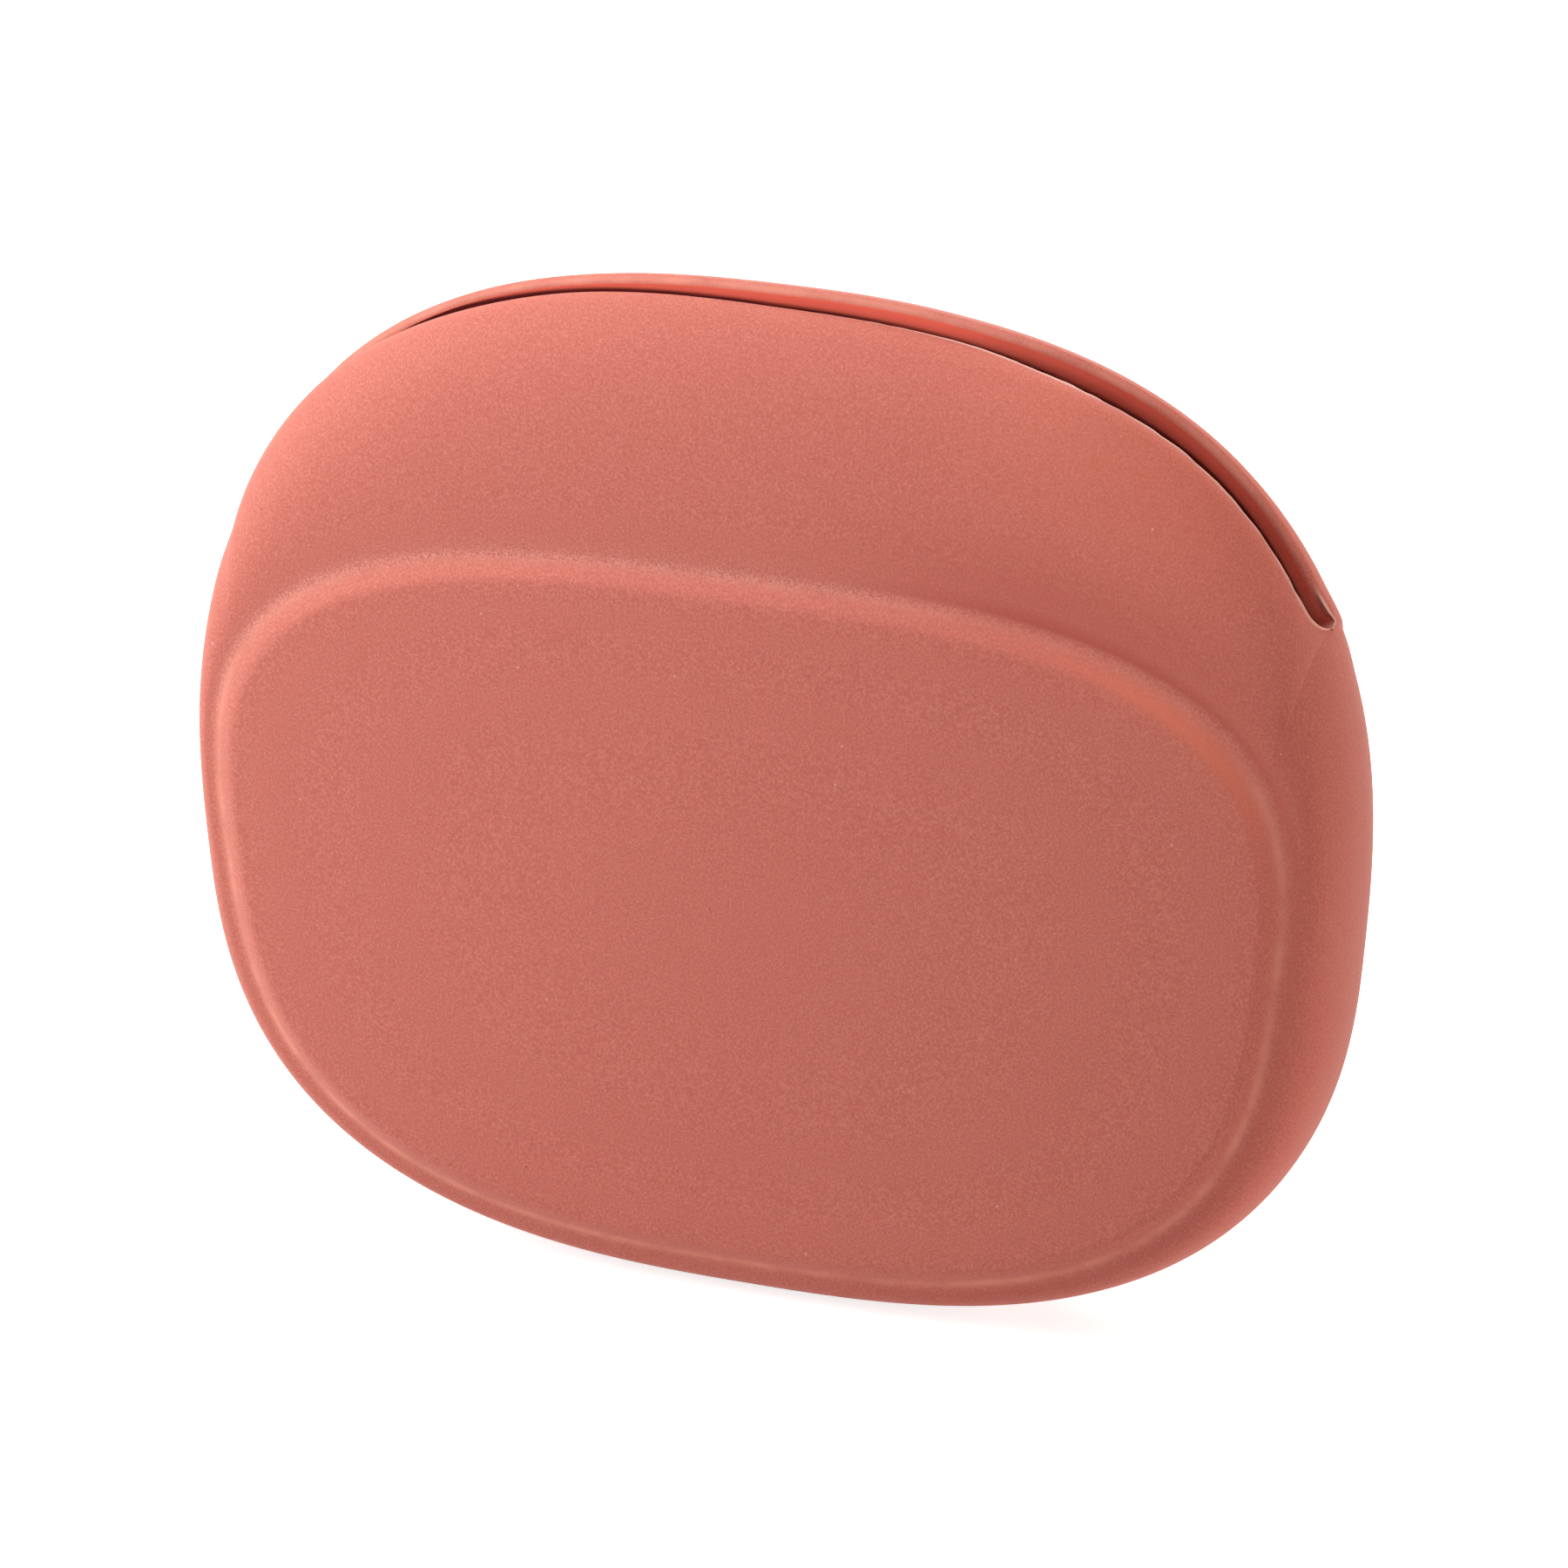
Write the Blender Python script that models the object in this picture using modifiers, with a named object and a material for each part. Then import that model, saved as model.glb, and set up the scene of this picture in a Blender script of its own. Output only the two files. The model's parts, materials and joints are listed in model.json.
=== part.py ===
"""A soft pebble-shaped silicone pouch for earphones, standing with its mouth up and its front towards -Y.

Two moulded halves are bonded round the lower edge. The wall above the raised panels is free along
the mouth, so each half has a lip that bends outward there. Two magnets in each lip pull the mouth
shut, and a silicone plug closes each magnet's pocket.
"""
import math

import bmesh
import bpy

# Outline of the body, seen from the front. The belt is the height where its upper and lower arcs meet.
HALF_WIDTH = 0.0460
BELT_HEIGHT = 0.0323
RISE = 0.0483
UPPER_POWER = 2.53
LOWER_POWER = 2.66
BODY_WIDENING = 1.33

# Raised panel on each side, set in from the body's outline.
PANEL_SIDE_INSET = 0.00365
PANEL_TOP_INSET = 0.0209
PANEL_BASE_INSET = 0.0038
PANEL_UPPER_POWER = 3.0
PANEL_LOWER_POWER = 2.8
PANEL_WIDENING = 2.75
PANEL_STEP = 0.0015
RIDGE_HALF = 0.0011

# Thickness: half of the whole, from the middle plane to a panel's face, and the moulded wall.
HALF_DEPTH = 0.0090
WALL = 0.0018
SHOULDER_POWER = 2.5

# Mouth. Each lip's edge lies at its own depth behind or in front of the middle plane.
SEAM_GAP = 0.0003
FLEX_GAP = 0.0003
FLEX_ABOVE_PANEL = 0.0004
MOUTH_END_BELOW_FLEX = 0.0017
MOUTH_END_RADIUS = 0.0020
FRONT_EDGE_CENTRE = 0.0010
FRONT_EDGE_END = 0.0016
BACK_EDGE_CENTRE = -0.0005
BACK_EDGE_END = 0.0003
FRONT_LIP_STEP = 0.0010
LIP_STEP_RUN = 0.0100

# Magnets, in pockets in the thick middle of each lip.
MAGNET_LENGTH = 0.0100
MAGNET_HEIGHT = 0.0040
MAGNET_THICKNESS = 0.0015
MAGNET_SPACING = 0.0240
MAGNET_BELOW_EDGE = 0.0042
MAGNET_BEHIND_FACE = 0.0008
MAGNET_EDGE_ROUND = 0.0002
POCKET_GAP = 0.0002
PLUG_HEIGHT = 0.0012
RAIL_PAST_POCKET = 0.0035
RAIL_RUN_OUT = 0.0120

# Mesh density.
OUTLINE_STEPS = 88
SHOULDER_STEPS = 7
RIDGE_STEPS = 5
INNER_STEPS = 5
CUTTER_REACH = 0.02

FRONT, BACK = -1, 1
LEFT, RIGHT = -1, 1

SILICONE = ((0.53, 0.155, 0.115), 0.62, 0.0)
MAGNET_PLATE = ((0.60, 0.60, 0.62), 0.30, 1.0)


def smooth(value):
    """Rises gently from 0 to 1 as the value goes from 0 to 1."""
    value = min(1.0, max(0.0, value))
    return value * value * (3 - 2 * value)


def signed_power(value, power):
    return math.copysign(abs(value) ** power, value)


class Oval:
    """A closed outline in the XZ plane, with one power above its centre and another below."""

    def __init__(self, half_width, top, base, centre, powers, widening):
        self.half_width = half_width
        self.rise = top - centre
        self.drop = centre - base
        self.centre = centre
        self.powers = powers
        self.widening = widening

    def point(self, angle, grow=0.0):
        """The (x, z) at this angle, with the whole outline grown by so much."""
        side, up = math.cos(angle), math.sin(angle)
        power = self.powers[0] if up >= 0 else self.powers[1]
        reach = (self.rise if up >= 0 else self.drop) + grow
        height = reach * signed_power(up, 2 / power)
        width = (self.half_width + grow) * (1 + self.widening * height)
        return width * signed_power(side, 2 / power), self.centre + height

    def angle_at(self, height):
        """The angle on the right, above the centre, where the outline has this height."""
        return math.asin(((height - self.centre) / self.rise) ** (self.powers[0] / 2))

    def height_over(self, x):
        """The height of the outline's upper arc over this x, found by halving the angle's range."""
        low, high = 0.0, math.pi / 2
        for _ in range(40):
            middle = (low + high) / 2
            if self.point(middle)[0] > abs(x):
                low = middle
            else:
                high = middle
        return self.point(low)[1]


TOP = BELT_HEIGHT + RISE
PANEL_TOP = TOP - PANEL_TOP_INSET
PANEL_BASE = PANEL_BASE_INSET
FOOT_DEPTH = HALF_DEPTH - PANEL_STEP
INNER_DEPTH = FOOT_DEPTH - WALL
FLEX_HEIGHT = PANEL_TOP + RIDGE_HALF + FLEX_ABOVE_PANEL
MOUTH_END = FLEX_HEIGHT - MOUTH_END_BELOW_FLEX

BODY = Oval(HALF_WIDTH, TOP, 0.0, BELT_HEIGHT, (UPPER_POWER, LOWER_POWER), BODY_WIDENING)
PANEL = Oval(HALF_WIDTH - PANEL_SIDE_INSET, PANEL_TOP, PANEL_BASE, (PANEL_TOP + PANEL_BASE) / 2,
             (PANEL_UPPER_POWER, PANEL_LOWER_POWER), PANEL_WIDENING)

# The rail is the thick middle of a lip: it reaches from the edge down past the pocket's plug.
RAIL_HEIGHT = MAGNET_BELOW_EDGE + MAGNET_HEIGHT + POCKET_GAP + PLUG_HEIGHT
RAIL_HALF_LENGTH = MAGNET_SPACING / 2 + MAGNET_LENGTH / 2 + RAIL_PAST_POCKET


def ring_angles():
    """Even steps round the outline, and closer ones where the mouth's rounded ends are."""
    right_end = [BODY.angle_at(MOUTH_END + MOUTH_END_RADIUS * share) for share in (0.0, 0.15, 0.5, 1.0)]
    ends = right_end + [math.pi - angle for angle in right_end]
    step = 2 * math.pi / OUTLINE_STEPS
    even = [step * count for count in range(OUTLINE_STEPS)]
    clear = [angle for angle in even if min(abs(angle - end) for end in ends) > step / 3]
    return sorted(clear + ends)


ANGLES = ring_angles()


def edge_depth(side, angle):
    """How far outward from the middle plane this half's edge lies: the seam, or the lip along the mouth."""
    x, height = BODY.point(angle)
    if side == FRONT:
        centre, end = FRONT_EDGE_CENTRE, FRONT_EDGE_END
    else:
        centre, end = BACK_EDGE_CENTRE, BACK_EDGE_END
    half_length = BODY.point(BODY.angle_at(MOUTH_END))[0]
    spread = smooth((abs(x) - RAIL_HALF_LENGTH) / (half_length - RAIL_HALF_LENGTH))
    lip = centre + (end - centre) * spread
    above_end = min(1.0, max(0.0, (height - MOUTH_END) / MOUTH_END_RADIUS))
    rounding = math.sqrt(1 - (1 - above_end) ** 2)
    return SEAM_GAP / 2 + (lip - SEAM_GAP / 2) * rounding


def lip_step(side, angle):
    """How far the front lip's edge stays below the back one's."""
    if side == BACK:
        return 0.0
    return FRONT_LIP_STEP * smooth((BODY.point(angle)[1] - MOUTH_END) / LIP_STEP_RUN)


def rail_height(angle):
    """The wall's height at the edge: plain all round, and deep along the middle of the mouth."""
    x, height = BODY.point(angle)
    if height < BELT_HEIGHT:
        return WALL
    share = 1 - smooth((abs(x) - RAIL_HALF_LENGTH) / RAIL_RUN_OUT)
    return WALL + (RAIL_HEIGHT - WALL) * share


def shoulder(share_of_turn):
    """A rounded shoulder: (how far in towards the panel, how far out in depth), each from 0 to 1."""
    turn = share_of_turn * math.pi / 2
    inward = 1 - max(0.0, math.cos(turn)) ** (2 / SHOULDER_POWER)
    outward = math.sin(turn) ** (2 / SHOULDER_POWER)
    return inward, outward


def drawn_towards_centre(point, distance):
    """The (x, z) moved straight towards the middle of the panel."""
    x, height = point
    to_x, to_height = -x, PANEL.centre - height
    length = math.hypot(to_x, to_height)
    return x + to_x * distance / length, height + to_height * distance / length


def shoulder_ring(side, share_of_turn):
    """One ring of the outer surface between the edge and the foot of the panel."""
    inward, outward = shoulder(share_of_turn)
    ring = []
    for angle in ANGLES:
        edge = edge_depth(side, angle)
        x, height = BODY.point(angle)
        foot_x, foot_height = PANEL.point(angle, RIDGE_HALF)
        point = x + (foot_x - x) * inward, height + (foot_height - height) * inward
        x, height = drawn_towards_centre(point, lip_step(side, angle) * (1 - inward) ** 3)
        ring.append((x, side * (edge + (FOOT_DEPTH - edge) * outward), height))
    return ring


def ridge_ring(side, share):
    """One ring of the soft step from the foot of the panel up to its flat face."""
    grow = RIDGE_HALF * (1 - 2 * share)
    depth = FOOT_DEPTH + PANEL_STEP * (1 - math.cos(math.pi * share)) / 2
    ring = []
    for angle in ANGLES:
        x, height = PANEL.point(angle, grow)
        ring.append((x, side * depth, height))
    return ring


def inner_ring(side, share_of_turn):
    """One ring of the hollow's surface, from the edge to its flat bottom behind the panel."""
    inward, outward = shoulder(share_of_turn)
    ring = []
    for angle in ANGLES:
        edge = edge_depth(side, angle)
        start = drawn_towards_centre(BODY.point(angle), lip_step(side, angle) + rail_height(angle))
        flat_x, flat_height = PANEL.point(angle, RIDGE_HALF - WALL)
        x = start[0] + (flat_x - start[0]) * inward
        height = start[1] + (flat_height - start[1]) * inward
        ring.append((x, side * (edge + (INNER_DEPTH - edge) * outward), height))
    return ring


def half_rings(side):
    """The rings of one half, from the panel's face over the edge and down into the hollow."""
    rings = [ridge_ring(side, 1 - step / RIDGE_STEPS) for step in range(RIDGE_STEPS)]
    rings += [shoulder_ring(side, 1 - step / SHOULDER_STEPS) for step in range(SHOULDER_STEPS + 1)]
    rings += [inner_ring(side, step / INNER_STEPS) for step in range(INNER_STEPS + 1)]
    return rings


def new_collection(name):
    collection = bpy.data.collections.new(name)
    bpy.context.scene.collection.children.link(collection)
    return collection


def new_material(name, look):
    color, roughness, metallic = look
    material = bpy.data.materials.new(name)
    material.use_nodes = True
    shader = material.node_tree.nodes["Principled BSDF"]
    shader.inputs["Base Color"].default_value = (*color, 1.0)
    shader.inputs["Roughness"].default_value = roughness
    shader.inputs["Metallic"].default_value = metallic
    material.diffuse_color = (*color, 1.0)
    return material


def loft(name, rings, collection):
    """One closed solid through the rings, with a flat cap on the first and the last."""
    build = bmesh.new()
    rows = [[build.verts.new(point) for point in ring] for ring in rings]
    count = len(rows[0])
    for row, following in zip(rows, rows[1:]):
        for place in range(count):
            after = (place + 1) % count
            build.faces.new((row[place], row[after], following[after], following[place]))
    build.faces.new(rows[0])
    build.faces.new(rows[-1])
    bmesh.ops.recalc_face_normals(build, faces=build.faces)
    mesh = bpy.data.meshes.new(name)
    build.to_mesh(mesh)
    build.free()
    part = bpy.data.objects.new(name, mesh)
    collection.objects.link(part)
    return part


def box(name, size, centre, tilt, collection):
    """A box whose size is in its mesh, turned by tilt about Y."""
    build = bmesh.new()
    bmesh.ops.create_cube(build, size=1.0)
    bmesh.ops.scale(build, vec=size, verts=build.verts)
    mesh = bpy.data.meshes.new(name)
    build.to_mesh(mesh)
    build.free()
    part = bpy.data.objects.new(name, mesh)
    part.location = centre
    part.rotation_euler = (0.0, tilt, 0.0)
    collection.objects.link(part)
    return part


def round_edges(part, width):
    bevel = part.modifiers.new("rounded edges", "BEVEL")
    bevel.width = width
    bevel.segments = 2
    bevel.limit_method = "ANGLE"


def cut(part, cutter):
    boolean = part.modifiers.new("cut " + cutter.name, "BOOLEAN")
    boolean.operation = "DIFFERENCE"
    boolean.object = cutter
    boolean.solver = "EXACT"


def as_cutter(part):
    part.hide_render = True
    part.display_type = "WIRE"
    return part


def finish(part, look):
    part.data.materials.append(new_material(part.name + " finish", look))
    part.data.shade_smooth()
    part.data.set_sharp_from_angle(angle=math.radians(35))


def carry(part, axis):
    """Hangs a piece on its joint's axis without moving it."""
    part.parent = axis
    part.location = part.location - axis.location


def flex_axis(name, side, collection):
    """The line that a lip bends about: on the outside of the wall, where its lower edge lies."""
    axis = bpy.data.objects.new(name, None)
    axis.location = (0.0, side * FOOT_DEPTH, FLEX_HEIGHT)
    axis.empty_display_size = HALF_DEPTH
    collection.objects.link(axis)
    return axis


def level_cutter(name, low, high, cutters):
    """A box across the whole body between two heights."""
    size = (2 * (HALF_WIDTH + CUTTER_REACH), 2 * (HALF_DEPTH + CUTTER_REACH), high - low)
    return as_cutter(box(name, size, (0.0, 0.0, (low + high) / 2), 0.0, cutters))


def magnet_place(hand):
    """The middle of a magnet's top edge line under the body's outline, and the outline's tilt there."""
    x = hand * MAGNET_SPACING / 2
    reach = MAGNET_LENGTH / 2
    fall = BODY.height_over(x - reach) - BODY.height_over(x + reach)
    tilt = math.atan2(fall, MAGNET_LENGTH)
    return x, BODY.height_over(x), tilt


def under_edge(hand, side, below, behind):
    """The centre of a piece so far below the outline and so far behind the lip's face, and its tilt."""
    x, height, tilt = magnet_place(hand)
    edge = FRONT_EDGE_CENTRE if side == FRONT else BACK_EDGE_CENTRE
    place = (x - math.sin(tilt) * below, side * (edge + behind), height - math.cos(tilt) * below)
    return place, tilt


def magnet_set(side, hand, lip, axis, parts, cutters):
    """One magnet, the pocket cut for it in the lip, and the plug that closes the pocket from below."""
    name = f"{'front' if side == FRONT else 'back'}_{{}}_{'left' if hand == LEFT else 'right'}"
    pocket_length = MAGNET_LENGTH + 2 * POCKET_GAP
    pocket_thickness = MAGNET_THICKNESS + 2 * POCKET_GAP
    behind = MAGNET_BEHIND_FACE + pocket_thickness / 2

    pocket_top = MAGNET_BELOW_EDGE - POCKET_GAP
    pocket_height = MAGNET_HEIGHT + PLUG_HEIGHT + CUTTER_REACH
    place, tilt = under_edge(hand, side, pocket_top + pocket_height / 2, behind)
    size = (pocket_length, pocket_thickness, pocket_height)
    cut(lip, as_cutter(box(name.format("pocket"), size, place, tilt, cutters)))

    place, tilt = under_edge(hand, side, MAGNET_BELOW_EDGE + MAGNET_HEIGHT / 2, behind)
    size = (MAGNET_LENGTH, MAGNET_THICKNESS, MAGNET_HEIGHT)
    magnet = box(name.format("magnet"), size, place, tilt, parts)

    plug_top = MAGNET_BELOW_EDGE + MAGNET_HEIGHT + POCKET_GAP
    plug_height = PLUG_HEIGHT + (FRONT_LIP_STEP if side == FRONT else 0.0)
    place, tilt = under_edge(hand, side, plug_top + plug_height / 2, behind)
    size = (MAGNET_LENGTH, MAGNET_THICKNESS, plug_height)
    plug = box(name.format("plug"), size, place, tilt, parts)

    for piece, look in ((magnet, MAGNET_PLATE), (plug, SILICONE)):
        round_edges(piece, MAGNET_EDGE_ROUND)
        finish(piece, look)
        carry(piece, axis)


def half(side, parts, cutters, above_flex, below_flex):
    """One moulded half: its shell below the flex line, and its lip with two magnets above."""
    word = "front" if side == FRONT else "back"
    rings = half_rings(side)
    shell = loft(word + "_shell", rings, parts)
    cut(shell, above_flex)
    finish(shell, SILICONE)

    lip = loft(word + "_lip", rings, parts)
    axis = flex_axis(word + "_flex_axis", side, parts)
    cut(lip, below_flex)
    for hand in (LEFT, RIGHT):
        magnet_set(side, hand, lip, axis, parts, cutters)
    finish(lip, SILICONE)
    carry(lip, axis)


def main():
    for old in list(bpy.data.objects):
        bpy.data.objects.remove(old, do_unlink=True)
    parts = new_collection("earphone_pouch")
    cutters = new_collection("cutters")
    above_flex = level_cutter("above_flex", FLEX_HEIGHT - FLEX_GAP / 2, TOP + CUTTER_REACH, cutters)
    below_flex = level_cutter("below_flex", -CUTTER_REACH, FLEX_HEIGHT + FLEX_GAP / 2, cutters)
    for side in (FRONT, BACK):
        half(side, parts, cutters, above_flex, below_flex)
    bpy.context.view_layer.update()


main()
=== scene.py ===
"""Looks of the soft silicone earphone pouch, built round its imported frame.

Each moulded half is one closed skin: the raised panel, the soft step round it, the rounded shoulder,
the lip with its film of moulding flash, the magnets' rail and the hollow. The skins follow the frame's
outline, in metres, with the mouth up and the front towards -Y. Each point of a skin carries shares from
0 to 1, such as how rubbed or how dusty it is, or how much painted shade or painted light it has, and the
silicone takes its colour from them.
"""
import json
import math

import bmesh
import bpy
import numpy as np
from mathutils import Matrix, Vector, noise


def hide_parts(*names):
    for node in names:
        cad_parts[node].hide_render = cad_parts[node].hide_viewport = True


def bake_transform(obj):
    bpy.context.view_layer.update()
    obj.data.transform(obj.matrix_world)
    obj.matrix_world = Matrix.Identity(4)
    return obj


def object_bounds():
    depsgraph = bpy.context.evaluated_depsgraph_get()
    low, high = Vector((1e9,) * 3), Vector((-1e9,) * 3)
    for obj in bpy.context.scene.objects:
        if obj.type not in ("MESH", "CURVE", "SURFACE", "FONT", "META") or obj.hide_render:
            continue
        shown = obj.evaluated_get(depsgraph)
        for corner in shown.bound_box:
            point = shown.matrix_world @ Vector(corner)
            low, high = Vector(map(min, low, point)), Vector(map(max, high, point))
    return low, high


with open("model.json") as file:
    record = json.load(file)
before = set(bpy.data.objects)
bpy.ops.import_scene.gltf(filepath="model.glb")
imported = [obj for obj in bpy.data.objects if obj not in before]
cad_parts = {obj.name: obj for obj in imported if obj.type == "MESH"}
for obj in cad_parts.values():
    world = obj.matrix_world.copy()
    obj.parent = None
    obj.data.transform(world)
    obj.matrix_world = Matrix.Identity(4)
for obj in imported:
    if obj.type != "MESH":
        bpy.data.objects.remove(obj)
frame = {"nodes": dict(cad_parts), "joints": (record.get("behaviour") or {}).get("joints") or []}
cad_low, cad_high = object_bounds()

WHITE = (1.0, 1.0, 1.0)

# Heights and depths that the frame gives.
HINGE = next(Vector(joint["pos_m"]) for joint in frame["joints"] if joint["name"] == "front_lip_flex")
TOP = cad_high.z
HALF_DEPTH = (cad_high.y - cad_low.y) / 2
FLEX_HEIGHT = HINGE.z
FOOT_DEPTH = abs(HINGE.y)

# Outline of the body. Its power is one above the belt and another below.
HALF_WIDTH = 0.0460
BELT_HEIGHT = 0.0323
BODY_POWERS = (2.53, 2.66)
BODY_WIDENING = 1.33

# Outline of the raised panel: how far it stays inside the body's, and how far it lies off the middle.
PANEL_SIDE_INSET = 0.00390
PANEL_TOP_INSET = 0.0209
PANEL_BASE = 0.0038
PANEL_POWERS = (3.0, 2.8)
PANEL_WIDENING = 2.75
PANEL_OFF_CENTRE = (-0.00040, -0.00010)
PANEL_CROWN = 0.0004
PANEL_CROWN_POWER = 2.5

# The soft step round the panel: its reach inside and outside the panel's outline, and its steepest place.
RIDGE_CREST = 0.0016
RIDGE_FOOT = 0.0011
RIDGE_STEEPEST = 0.62

# Walls: the shells' and, beside the rail, the lips', with the roundness of the shoulder.
WALL = 0.0018
LIP_WALL = {"front": 0.0013, "back": 0.0034}
SHOULDER_POWER = 2.2

# Mouth: how far outward from the middle plane each lip's face lies in the middle and past the magnets,
# and how its edges are rounded, the inner one in rows at these turns in degrees.
MOUTH_END = FLEX_HEIGHT - 0.0023
END_RUN = {"front": 0.0035, "back": 0.0003}
LEFT_END_EXTRA = 0.0045
EDGE_CENTRE = {"front": 0.0010, "back": -0.0005}
EDGE_GAPE = {"front": 0.0026, "back": 0.0010}
LEFT_GAPE_SHARE = {"front": 0.30, "back": 0.45}
GAPE_START = {"front": 0.0140, "back": 0.0130}
GAPE_RUN = {"front": 0.0140, "back": 0.0220}
END_FLARE = 0.0017
END_FLARE_RUN = 0.0032
LEFT_FLARE_LOSS = 0.6
EDGE_ROUND = {"front": 0.00035, "back": 0.00065}
LIP_ROUND_RUN = 0.0012
INNER_ROUND = 0.0005
INNER_TURNS = (22.5, 45.0, 67.5)

# Seam below the mouth: how it strays to the back next to the mouth, and its fine crease.
SEAM_STRAY = 0.0007
SEAM_STRAY_START = 0.00096
SEAM_STRAY_RUN = 0.0032
SEAM_ROUND = 0.00004
SEAM_ROUND_RUN = 0.0060
SEAM_LEAST_ROUND = 0.1

# The front lip's drop below the back one, from the left end of the mouth to its right end.
LIP_DROP_PLACES = (-0.0380, -0.0340, -0.0250, -0.0145, 0.0, 0.0145, 0.0200, 0.0258, 0.0330, 0.0380)
LIP_DROPS = (0.0, 0.00028, 0.00076, 0.00095, 0.00130, 0.00154, 0.00140, 0.00076, 0.00022, 0.00012)
LIP_DROP_BLUR = 9
LIP_DROP_FADE = 3

# Rail: the thick middle of each lip, with the magnets' pockets.
RAIL_HEIGHT = 0.0096
RAIL_HALF_LENGTH = 0.0205
RAIL_RUN_OUT = 0.0120
POCKET_GAP = 0.0002
POCKET_OPEN = 0.0015

# Moulding flash along the front lip's edge and round the mouth's ends. Its places on the edge's rounded
# corner are in degrees from the outer side.
FLASH_HEIGHT = 0.00018
FLASH_WANDER = 0.00007
FLASH_BUMPS = 900.0
FLASH_MIDDLE = 50.0
FLASH_FOOT = 15.0
FLASH_TIP = 6.0
FLASH_FOOT_SHARE = 0.3
FLASH_START = 0.0003
FLASH_END_EXTRA = 0.00010
FLASH_END_RUN = 0.0050
FLASH_BACK_START = 0.0011
FLASH_BACK_RUN = 0.0022
FLASH_GROWTH = 0.0220
FLASH_LEFT_SHARE = 0.15
# The flash colour, at this share, also paints light on the back lip's face near the mouth's end.
FACE_PAINTED_LIGHT = 0.35

# The mouth's walls are deeper in colour, with painted shade, below the front lip's level, but less so on the
# right.
INSIDE_SHADE_START = -0.00088
INSIDE_SHADE_RUN = 0.0011
LIP_PAINT_END_RUN = 0.0120
LIP_PAINT_RIGHT_LOSS = 0.20
LIP_PAINT_RIGHT_START = 0.0100
LIP_PAINT_RIGHT_RUN = 0.0120

# The back lip has a painted highlight round its corner and bright red painted light just below it. The turns
# are in degrees.
PALE_TURN = 60.0
PAINTED_LIGHT_TURN = 75.0
PAINTED_LIGHT_TURN_RUN = 15.0
PAINTED_LIGHT_DEPTH = 0.0002
PAINTED_LIGHT_RUN = 0.0011
PAINTED_LIGHT_END_RUN = 0.0005

# The slit between the lips has a band of near-black painted shadow that starts at a share of the gap's width
# below the edge.
SLIT_PLACES = (-0.0380, -0.0250, 0.0, 0.0300)
SLIT_STARTS = (-0.10, 0.05, 0.33, 0.43)
SLIT_RUN = 0.0003
SLIT_DEPTH = 0.0009
SLIT_END_START = 0.0016
SLIT_END_RUN = 0.0020

# Wear and a painted highlight round the panel, by how far it lies past the rim. A thin line is rubbed pale
# and painted as a highlight, less so at the top.
RUB_MIDDLE = 0.00015
RUB_SPREAD = 0.00035
RUB_TOP_LOSS = 0.7

# The groove outside the rim, and the wall past it, have painted shade on the right, most at the top.
GROOVE_MIDDLE = 0.0013
GROOVE_SPREAD = 0.0004
PAST_GROOVE_MIDDLE = 0.0035
PAST_GROOVE_SPREAD = 0.0035
PAST_GROOVE_SHARE = 0.4
GROOVE_LOW_SHARE = 0.3

# Dust lies at the upper side of the rim, less so on the right.
DUST_MIDDLE = 0.0006
DUST_SPREAD = 0.0005
DUST_GROWTH = 1.4
DUST_RIGHT_LOSS = 0.6

# The rim and the shoulder have a warm painted highlight in their upper right.
WARM_HIGHLIGHT_MIDDLE = -0.0006
WARM_HIGHLIGHT_SPREAD = 0.0007
WARM_HIGHLIGHT_TURN = math.radians(42.0)
WARM_HIGHLIGHT_REACH = math.radians(24.0)
SHOULDER_HIGHLIGHT_MIDDLE = 0.0140
SHOULDER_HIGHLIGHT_SPREAD = 0.0075
SHOULDER_HIGHLIGHT_SHARE = 0.45
SHOULDER_HIGHLIGHT_TURN = math.radians(56.0)
SHOULDER_HIGHLIGHT_REACH = math.radians(20.0)

# Mesh density, the turn from which an edge is sharp, and a distance past the rim with no wear, dust, painted
# highlight or painted shade left.
OUTLINE_SAMPLES = 20001
STATIONS = 640
END_DENSITY = 5.0
END_SPREAD = 0.0030
PANEL_ROWS = 10
RIDGE_ROWS = 14
SHOULDER_ROWS = 30
FACE_ROWS = 28
HOLLOW_ROWS = 20
SHARP_TURN = math.radians(50.0)
FAR = 1.0

# Colours of the silicone. Several are painted light or shade rather than its own colour: the inside colour is
# deeper with painted shade, and others are painted highlights, painted light and painted shadow, as their
# sections say.
SILICONE = (0.552, 0.155, 0.118)
SILICONE_DEEP = (0.488, 0.119, 0.087)
SILICONE_PALE = (0.640, 0.213, 0.168)
SILICONE_RUB_HIGHLIGHT = (0.720, 0.262, 0.195)
SILICONE_FLASH = (0.900, 0.540, 0.450)
SILICONE_DUST = (0.740, 0.430, 0.370)
SILICONE_PIT = (0.340, 0.090, 0.072)
SILICONE_INSIDE_SHADE = (0.500, 0.070, 0.047)
SILICONE_PAINTED_LIGHT = (0.880, 0.150, 0.100)
SILICONE_SLIT_SHADOW = (0.090, 0.004, 0.003)
SILICONE_WARM_HIGHLIGHT = (0.750, 0.198, 0.125)
SILICONE_GROOVE_SHADE = (0.455, 0.092, 0.068)

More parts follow.
